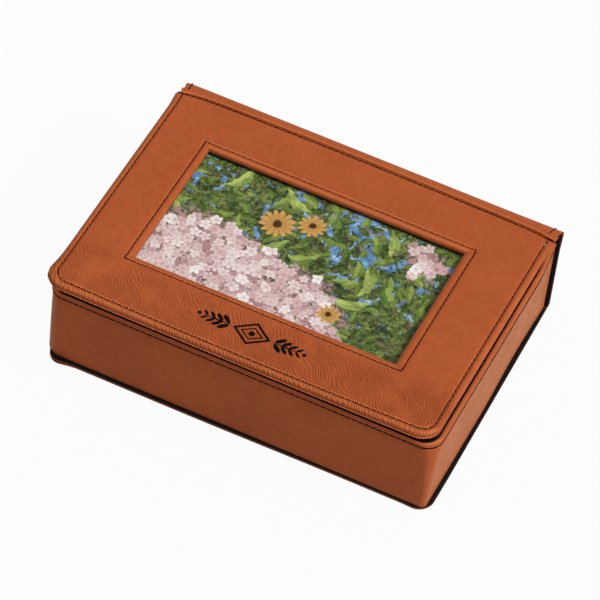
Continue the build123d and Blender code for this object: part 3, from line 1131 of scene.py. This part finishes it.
class PHOTOBOX_OT_spine_leather(Piece, bpy.types.Operator):
    """Wrap the spine: a strip with a fold line on top, rolled over the back edge and down to the base"""

    bl_idname = "photobox.spine_leather"
    bl_label = "Spine leatherette"

    def make(self, sizes):
        path = strip_profile(sizes)
        body = added("spine_leather", bpy.ops.mesh.primitive_plane_add, size=1)
        enter()
        bpy.ops.transform.resize(value=((STRIP_HIGH.x - STRIP_LOW.x + 0.3) * MM, 0.1 * MM, 1))
        bpy.ops.transform.translate(value=(0, (path[0][0] - 0.05) * MM, path[0][1] * MM))
        pick("edges", lambda e: middle_of(e).y < path[0][0] - 0.06)
        bpy.ops.mesh.delete(type="EDGE")
        pick("edges")
        for (y, z), (next_y, next_z) in zip(path, path[1:]):
            extrude(0, (next_y - y) * MM, (next_z - z) * MM)
        pick("edges", lambda e: reach_of(e, 0) > 0.1)
        bpy.ops.mesh.subdivide(number_cuts=89)
        leave()
        reshape(body, fitted)
        edit(body, bpy.ops.mesh.normals_make_consistent, inside=False)
        up = max(body.data.polygons, key=lambda face: face.center.z)
        if up.normal.z < 0:
            edit(body, bpy.ops.mesh.flip_normals)
        thicken(body, 1.1)
        finish_with(body, "BEVEL", width=0.22 * MM, segments=2, limit_method="ANGLE",
                    angle_limit=math.radians(50))
        return finished(body, 50, "leather", "box", "leatherette", "hinge_strip", "spine_cover")


class PHOTOBOX_OT_spine_inside(Piece, bpy.types.Operator):
    """Fill the spine: its board, the black cloth over the board's face and ends, and the cloth under the strip"""

    bl_idname = "photobox.spine_inside"
    bl_label = "Spine board and cloth"

    def make(self, sizes):
        front, back = SPINE_LINING_LOW.y, SPINE_LINING_HIGH.y
        low, high = SPINE_LINING_LOW.z, SPINE_LINING_HIGH.z - 0.35
        half = SPINE_LINING_HIGH.x
        board = self.slab("spine_board_filled", half - 0.5, front + 0.35, back - 0.02,
                          low + 0.1, high - 0.1, 0.1)
        wear(board, "board")
        hand_over(board, "box", "board", "spine_board")
        cloth = self.slab("spine_cloth", half - 0.1, front - 0.03, back - 0.08, low + 0.3, high, 0.3)
        take(cloth)
        enter()
        pick("faces", lambda f: f.normal.y > 0.9)
        delete_faces()
        thicken(cloth, 0.2)
        finished(cloth, 50, "lining", "box", "black_lining", "spine_lining")
        under = plate("hinge_cloth", -half + 0.4, half - 0.4, HINGE_Y + 0.2, back - 0.1, high + 0.02,
                      (0.0, 0.0), 3.0, whole=False)
        leave()
        reshape(under, fitted)
        thicken(under, 0.22, 1.0)
        return finished(under, 50, "lining", "box", "black_lining", "hinge_lining")

    def slab(self, name, half, front, back, low, high, edge):
        """A standing slab with softened edges, fitted to the spine's ends."""
        made = added(name, bpy.ops.mesh.primitive_cube_add, size=1)
        enter()
        bpy.ops.mesh.select_all(action="SELECT")
        bpy.ops.transform.resize(value=(2 * half * MM, (back - front) * MM, (high - low) * MM))
        bpy.ops.transform.translate(value=(0, (front + back) / 2 * MM, (low + high) / 2 * MM))
        bpy.ops.mesh.bevel(offset=edge * MM, segments=2, affect="EDGES")
        pick("edges", lambda e: reach_of(e, 0) > 0.1)
        bpy.ops.mesh.subdivide(number_cuts=60)
        pick("edges", lambda e: reach_of(e, 2) > 0.03)
        bpy.ops.mesh.subdivide(number_cuts=8)
        leave()
        reshape(made, lambda p: (p.x + part_of(-p.x, half - 8.0, half) * 1.1 *
                                 part_of(p.z, 20.0, 48.0), p.y, p.z))
        return made


class PHOTOBOX_OT_lid_cloth(Piece, bpy.types.Operator):
    """Line the lid: a black cloth panel with rolled edges over the backing card"""

    bl_idname = "photobox.lid_cloth"
    bl_label = "Lid lining"

    def make(self, sizes):
        low, high = span("lid_lining")
        cloth = wrap("lid_cloth", (low.x, high.x, low.y, high.y, (7.0, 3.0)), low.z + 0.55,
                     [(0.02, low.z + 0.75), (0.06, high.z)],
                     [(0.04, low.z + 0.3), (0.14, low.z + 0.12), (0.35, low.z + 0.02),
                      (0.8, low.z - 0.05), (1.6, low.z - 0.04), (2.6, low.z)], open_top=True)
        thicken(cloth, 0.2)
        return finished(cloth, 60, "lining", "lid", "black_lining", "lid_lining")


class PHOTOBOX_OT_lid_filling(Piece, bpy.types.Operator):
    """Fill the lid: a board and thin padding, both with the window's opening in them"""

    bl_idname = "photobox.lid_filling"
    bl_label = "Lid board and padding"

    def make(self, sizes):
        hole = (WINDOW[0] - 1.8, WINDOW[1] + 0.5, WINDOW[2] - 1.4, WINDOW[3] + 2.0)
        for name, node, finish in (("lid_board", "lid_frame_board", "board"),
                                   ("lid_wadding", "lid_foam", "foam")):
            low, high = span(node)
            outer = plate(name, low.x + 1.4, high.x - 0.9, low.y + 0.9, high.y - 1.2, low.z + 0.05,
                          (8.0, 2.0))
            leave()
            inner = plate(name + "_hole", *hole, low.z + 0.05, (0.0, 0.0))
            leave()
            take(outer, inner)
            bpy.ops.object.join()
            enter()
            bpy.ops.mesh.select_mode(type="FACE")
            bpy.ops.mesh.select_all(action="SELECT")
            bpy.ops.mesh.delete(type="ONLY_FACE")
            pick("edges")
            bpy.ops.mesh.bridge_edge_loops()
            bpy.ops.mesh.select_all(action="SELECT")
            bpy.ops.mesh.normals_make_consistent(inside=False)
            leave()
            if outer.data.polygons[0].normal.z < 0:
                edit(outer, bpy.ops.mesh.flip_normals)
            thicken(outer, (high.z - low.z - 0.3), 1.0)
            wear(outer, finish)
            hand_over(outer, "lid", finish, node)
        return outer


class PHOTOBOX_OT_hinge_fold(Piece, bpy.types.Operator):
    """The narrow fold of leatherette under the crease, between lid and spine"""

    bl_idname = "photobox.hinge_fold"
    bl_label = "Hinge fold"

    def make(self, sizes):
        half, reach = STRIP_HIGH.x - 2.2, 1.7
        low = STRIP_HIGH.z - 0.58
        fold = plate("hinge_fold", -half, min(half, LID_HIGH.x - 1.8), HINGE_Y - reach,
                     HINGE_Y + reach, low, (0.0, 0.0), 3.0, whole=False)
        pick("edges", lambda e: reach_of(e, 0) < 1e-6)
        bpy.ops.mesh.subdivide(number_cuts=7)
        leave()
        reshape(fold, lambda p: (p.x, p.y + bow(p.x), low + 0.28 * abs(p.y - HINGE_Y) / reach))
        thicken(fold, 0.3)
        smooth(fold, 60)
        wear(fold, "leather")
        settle(fold)
        (HINGE_Y + 0.9) * MM
        (HINGE_Y - 0.9) * MM
        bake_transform(fold)
        return fold


# ---------------------------------------------------------------- sewing


def round_path(outline, steps=14):
    """The points of an outline from its back left corner round by the front; the back stays open."""
    left, right, front, back, (radius, _) = outline
    points = [(left, back)]
    for x, start in ((left + radius, math.pi), (right - radius, 1.5 * math.pi)):
        for step in range(steps + 1):
            angle = start + 0.5 * math.pi * step / steps
            points.append((x + radius * math.cos(angle), front + radius + radius * math.sin(angle)))
    return [Vector((x, y, 0.0)) for x, y in (*points, (right, back))]


def paced(points, pitch):
    """Evenly spaced places along a path, each with its direction; whole stitches fill it."""
    lengths = [(b - a).length for a, b in zip(points, points[1:])]
    total = sum(lengths)
    count = max(1, round(total / pitch))
    places = []
    for index in range(count):
        along = (index + 0.5) * total / count
        for start, end, length in zip(points, points[1:], lengths):
            if along <= length:
                break
            along -= length
        direction = (end - start).normalized()
        places.append((start + direction * along, direction))
    return places, total / count


def one_stitch(sizes, thickness):
    """One stitch: a round thread that dips into its needle holes at both ends."""
    radius = sizes.thread_radius * thickness * MM
    half = sizes.stitch_length * MM / 2
    deselect()
    bpy.ops.mesh.primitive_cylinder_add(vertices=8, radius=radius, depth=half * 1.5,
                                        rotation=(0, math.pi / 2, 0))
    stitch = named("stitch")
    bpy.ops.object.transform_apply(rotation=True)
    for side in (-1.0, 1.0):
        enter()
        pick("faces", lambda f: f.normal.x * side > 0.9)
        for reach, drop, scale in ((0.14, 0.2, 0.86), (0.08, 0.45, 0.70), (0.03, 0.5, 0.6)):
            extrude(side * half * reach, 0, -drop * radius)
            bpy.ops.transform.resize(value=(1.0, scale, scale))
        leave()
    return stitch


def sewn(name, rows, sizes, body, node, thickness=1.0):
    """Rows of stitches on a body, for a frame node. Each row is a path and its outward side, or what
    gives that side at a place."""
    model = one_stitch(sizes, thickness)
    copies = []
    for points, facing in rows:
        places, step = paced(points, sizes.stitch_pitch)
        for place, along in places:
            up = facing(place, along) if callable(facing) else Vector(facing)
            across = up.cross(along).normalized()
            along = (along + across * STITCH_SLANT).normalized()
            across = up.cross(along).normalized()
            stretch = step / sizes.stitch_pitch
            turn = Matrix((along * stretch, across, up)).transposed().to_4x4()
            copy = model.copy()
            copy.data = model.data.copy()
            copy.matrix_world = Matrix.Translation(place * MM) @ turn
            bpy.context.collection.objects.link(copy)
            copies.append(copy)
    bpy.data.objects.remove(model)
    row = joined(name, copies)
    settle(row)
    return finished(row, 60, "thread", body, "thread", node)


def thread_height(sizes):
    """Where a thread's middle lies in the lid's sewing groove."""
    return TOP - sizes.groove_depth + sizes.thread_radius * 0.75


def at_height(points, z):
    """Lifts a flat path to a height."""
    return [Vector((p.x, p.y, z)) for p in points]


def dense(points, step=5.0):
    """The same path with more points, so that it can bend."""
    fine = []
    for start, end in zip(points, points[1:]):
        cuts = max(1, round((end - start).length / step))
        fine += [start.lerp(end, i / cuts) for i in range(cuts)]
    return fine + [points[-1]]


class PHOTOBOX_OT_lid_sewing(Piece, bpy.types.Operator):
    """Sew the lid: one row round its front and sides, one along the crease"""

    bl_idname = "photobox.lid_sewing"
    bl_label = "Lid sewing"

    def over_roll(self, place):
        """Lifts the ends of the crease row over the rolled sides."""
        x, y, z = place
        inside = min(x - LID[0], LID[1] - x)
        rise = 0.62 * part_of(-inside, -3.1, -1.9)
        return Vector((x, y, z + rise - 0.5 * part_of(-inside, -1.3, -0.2)))

    def make(self, sizes):
        z = thread_height(sizes)
        edge = round_path(drawn_in(LID, SEWING_INSET))
        edge[0].y = edge[-1].y = LID_HIGH.y - 3.5
        steps, angles = 24, (0.25, 0.5, 0.75, 1.0)
        left, right, turn = LID_LOW.x + 1.1, LID_HIGH.x + 0.3, 3.4
        behind = LID_HIGH.y - SEWING_INSET

        def bent(x, side, angle):
            """A place on the bend at one end of the crease row."""
            return Vector((x + side * turn * math.sin(angle),
                           behind - turn * 0.4 * (1.0 - math.cos(angle)), z))

        crease = [bent(left + turn, -1.0, angle) for angle in reversed(angles)]
        crease += [Vector((left + turn + (right - left - 2 * turn) * i / steps, behind, z))
                   for i in range(steps + 1)]
        crease += [bent(right - turn, 1.0, angle) for angle in angles]
        edge = [Vector(gathered(p)) for p in dense(at_height(edge, z - 0.08), 2.0)]
        sewn("lid_thread", [(edge, (0, 0, 1))], sizes, "lid", "lid_stitching")
        crease = [Vector(gathered(self.over_roll(p))) + Vector((0.0, 0.0, 0.12)) for p in crease]
        return sewn("crease_thread", [(crease, (0, 0, 1))], sizes, "lid", "crease_stitching", 1.2)


class PHOTOBOX_OT_window_sewing(Piece, bpy.types.Operator):
    """Sew the window's edge: one row all round it"""

    bl_idname = "photobox.window_sewing"
    bl_label = "Window sewing"

    def make(self, sizes):
        z = thread_height(sizes)
        left, right, front, back = WINDOW
        out = WINDOW_SEWING
        loop = [Vector(p) for p in ((left - out, front - out, z), (right + out, front - out, z),
                                    (right + out, back + out, z), (left - out, back + out, z),
                                    (left - out, front - out, z))]
        rows = []
        for start, end in zip(loop, loop[1:]):
            along, rise = (end - start).normalized(), Vector((0.0, 0.0, 0.3))
            rows.append(([start + rise - along * 0.3, start + along * 4.0, end - along * 4.0,
                          end + rise + along * 0.3], (0, 0, 1)))
        return sewn("window_thread", rows, sizes, "lid", "window_stitching")


class PHOTOBOX_OT_tray_sewing(Piece, bpy.types.Operator):
    """Sew the tray: one row round its front and sides, below the rim"""

    bl_idname = "photobox.tray_sewing"
    bl_label = "Tray sewing"

    def make(self, sizes):
        z = (TRAY_STITCH_LOW.z + TRAY_STITCH_HIGH.z) / 2
        path = round_path(drawn_in(TRAY, -0.02 - sizes.thread_radius * 0.3))
        path[0].y = path[-1].y = TRAY_STITCH_HIGH.y
        path = [Vector(leaned(p)) for p in dense(at_height(path, z))]
        return sewn("tray_thread", [(path, lambda place, along: Vector((along.y, -along.x, 0.0)))],
                    sizes, "box", "tray_stitching", 1.25)


class PHOTOBOX_OT_spine_sewing(Piece, bpy.types.Operator):
    """Sew the spine's ends: a row from the crease over the strip and down the back, at each end"""

    bl_idname = "photobox.spine_sewing"
    bl_label = "Spine sewing"

    def make(self, sizes):
        profile, rows = strip_profile(sizes), []
        for side, lean in ((-1.0, 1.0), (1.0, 0.7)):
            start = LID_HIGH.x - SEWING_INSET if side > 0 else LID_LOW.x + 2.8
            path = []
            for (y, z), (next_y, next_z) in zip(profile[5:-1], profile[6:]):
                out = Vector((0.0, y - next_y, next_z - z)).normalized()
                out = Vector((0.0, -out.z, -out.y)) * sizes.thread_radius * 0.35
                x = start + lean * (y - profile[0][0]) / (STRIP_HIGH.y - profile[0][0])
                path.append(Vector(fitted((x + out.x, y + out.y, z + out.z))))
            path.append(Vector((path[-1].x, path[-1].y, SPINE_STITCH_LOW.z + 0.4)))
            rows.append((path, lambda p, along: Vector((0.0, -along.z, along.y)).normalized()))
        return sewn("spine_thread", rows, sizes, "box", "spine_stitching")


class PHOTOBOX_OT_engraving(Piece, bpy.types.Operator):
    """Engrave the lid's front border: a lozenge between two sprigs, as thin dark lines"""

    bl_idname = "photobox.engraving"
    bl_label = "Engraved ornament"

    def make(self, sizes):
        x = (LID_LOW.x + LID_HIGH.x) / 2
        y = (LID_LOW.y + SEWING_INSET + WINDOW[2] - WINDOW_SEWING) / 2
        parts = [self.lozenge(x, y, (9.2, 7.0), 1.15), self.lozenge(x, y, (5.6, 3.9), 0.7),
                 self.flat(14, x, y, radius=1.5)]
        for side in (-1.0, 1.0):
            parts.append(self.flat(4, x + side * 9.4 + side * 7.0, y, (7.6, 0.5)))
            for number in range(4):
                for up in (-1.0, 1.0):
                    parts.append(self.leaf(x + side * (10.8 + number * 3.5), y, side, up,
                                           4.6 - number * 0.6))
            parts.append(self.flat(14, x + side * 25.4, y))
        ornament = joined("front_ornament", parts)
        settle(ornament)
        thicken(ornament, 0.05)
        wear(ornament, "engraved")
        return hand_over(ornament, "lid", "leatherette")

    def flat(self, sides, x, y, scale=(1.0, 1.0), turn=0.0, radius=1.0):
        """A flat polygon just above the lid, stretched and then turned."""
        deselect()
        bpy.ops.mesh.primitive_circle_add(
            vertices=sides, radius=radius * MM, fill_type="NGON",
            location=(x * MM, y * MM, (TOP + 0.012) * MM), rotation=(0, 0, turn))
        made = bpy.context.object
        made.scale = (*scale, 1.0)
        bpy.ops.object.transform_apply(location=True, rotation=True, scale=True)
        return made

    def lozenge(self, x, y, reach, line):
        """A four-sided frame with its middle left out."""
        made = self.flat(4, x, y, reach)
        enter()
        bpy.ops.mesh.select_all(action="SELECT")
        bpy.ops.mesh.inset(thickness=line * MM, depth=0)
        delete_faces()
        return made

    def leaf(self, x, y, side, up, length):
        """A pointed leaf that leans outwards from the stem."""
        return self.flat(12, x + side * length * 0.5, y + up * length * 0.5,
                         (length * 0.62, length * 0.24), math.atan2(up * 0.9, side))


class PHOTOBOX_OT_inner_pieces(Piece, bpy.types.Operator):
    """Finish what keeps its plain shape: the floor board, the pocket spacer, the backing card, the clear window
    and the print
    """

    bl_idname = "photobox.inner_pieces"
    bl_label = "Boards, cloth, window and print"

    def make(self, sizes):
        for node, finish in (("tray_floor_board", "card"), ("pocket_spacer", "card"),
                             ("lid_backing_card", "card"), ("window_pane", "pane"),
                             ("photo_print", "print")):
            wear(frame["nodes"][node], finish)
        return frame["nodes"]["photo_print"]


# ---------------------------------------------------------------- the stage

CAMERA_LENS, CAMERA_SENSOR = 262.26, 36.0
CAMERA_PLACE = (446.54, -1241.27, 1478.61)
CAMERA_AXES = ((0.90111847, 0.425053, 0.08553045), (-0.3691241, 0.64860996, 0.6656219),
               (0.22744868, -0.63137554, 0.74137172))


class PHOTOBOX_OT_stage(Piece, bpy.types.Operator):
    """Set the stage: a white floor, a high key light from the right, soft light all round, the camera"""

    bl_idname = "photobox.stage"
    bl_label = "Stage"

    def make(self, sizes):
        floor = added("floor", bpy.ops.mesh.primitive_plane_add, size=12.0,
                      location=(0, 0, -0.0002))
        wear(floor, "floor")
        settle(floor)
        lamps = [self.lamp("key", (0.575, 0.0, 0.615), 2.72, 0.35),
                 self.lamp("front_fill", (0.1, -0.9, 0.45), 0.02, 0.9)]
        self.camera()
        self.world()
        return floor

    def lamp(self, name, direction, strength, spread):
        """A far lamp that shines from one direction; spread softens its shadow."""
        deselect()
        way = Vector(direction).normalized()
        bpy.ops.object.light_add(type="SUN", location=way * 2.0,
                                 rotation=way.to_track_quat("Z", "Y").to_euler())
        made = named(name)
        made.data.energy = strength
        made.data.angle = spread
        return made

    def world(self):
        """Soft white light all round; what the camera sees of it is plain white."""
        scene = bpy.context.scene
        scene.world = bpy.data.worlds.new("white_room")
        look = Finish(scene.world, "ShaderNodeOutputWorld")
        look.blend_of(look.unlit_rays(),
                      look.node("ShaderNodeBackground", None, {"Strength": 0.41}),
                      look.node("ShaderNodeBackground"))
        scene.view_settings.view_transform = "Standard"

    def camera(self):
        """The camera, high in front and a little to the right."""
        camera = added("camera", bpy.ops.object.camera_add)
        camera.data.lens, camera.data.sensor_width = CAMERA_LENS, CAMERA_SENSOR
        camera.data.clip_start = 0.05
        camera.data.clip_end = 60.0
        turn = Matrix(CAMERA_AXES).transposed().to_4x4()
        camera.matrix_world = Matrix.Translation(Vector(CAMERA_PLACE) * MM) @ turn
        bpy.context.scene.camera = camera
        return camera


# ---------------------------------------------------------------- panel and main

OPERATORS = (PHOTOBOX_OT_base_leather, PHOTOBOX_OT_tray_leather, PHOTOBOX_OT_tray_walls,
             PHOTOBOX_OT_tray_lining, PHOTOBOX_OT_floor_pad, PHOTOBOX_OT_spine_leather,
             PHOTOBOX_OT_spine_inside,
             PHOTOBOX_OT_lid_cloth, PHOTOBOX_OT_lid_filling, PHOTOBOX_OT_hinge_fold,
             PHOTOBOX_OT_lid_leather, PHOTOBOX_OT_lid_sewing, PHOTOBOX_OT_window_sewing,
             PHOTOBOX_OT_tray_sewing, PHOTOBOX_OT_spine_sewing, PHOTOBOX_OT_engraving,
             PHOTOBOX_OT_inner_pieces, PHOTOBOX_OT_stage)


class PHOTOBOX_PT_panel(bpy.types.Panel):
    """Sizes, colours and steps of the photo box."""

    bl_idname = "PHOTOBOX_PT_panel"
    bl_label = "Photo box"
    bl_space_type = "VIEW_3D"
    bl_region_type = "UI"
    bl_category = "Photo box"

    def draw(self, context):
        scene = context.scene
        for group in (scene.photo_box_sizes, scene.photo_box_colours):
            for name in group.__annotations__:
                self.layout.prop(group, name)
        for operator in OPERATORS:
            self.layout.operator(operator.bl_idname)


CLASSES = (PhotoBoxSizes, PhotoBoxColours, *OPERATORS, PHOTOBOX_PT_panel)


def register():
    for made in CLASSES:
        bpy.utils.register_class(made)
    bpy.types.Scene.photo_box_sizes = PointerProperty(type=PhotoBoxSizes)
    bpy.types.Scene.photo_box_colours = PointerProperty(type=PhotoBoxColours)


def unregister():
    del bpy.types.Scene.photo_box_colours
    del bpy.types.Scene.photo_box_sizes
    for made in reversed(CLASSES):
        bpy.utils.unregister_class(made)


def main():
    register()
    for operator in OPERATORS:
        group, name = operator.bl_idname.split(".")
        getattr(getattr(bpy.ops, group), name)()


if __name__ == "__main__":
    main()
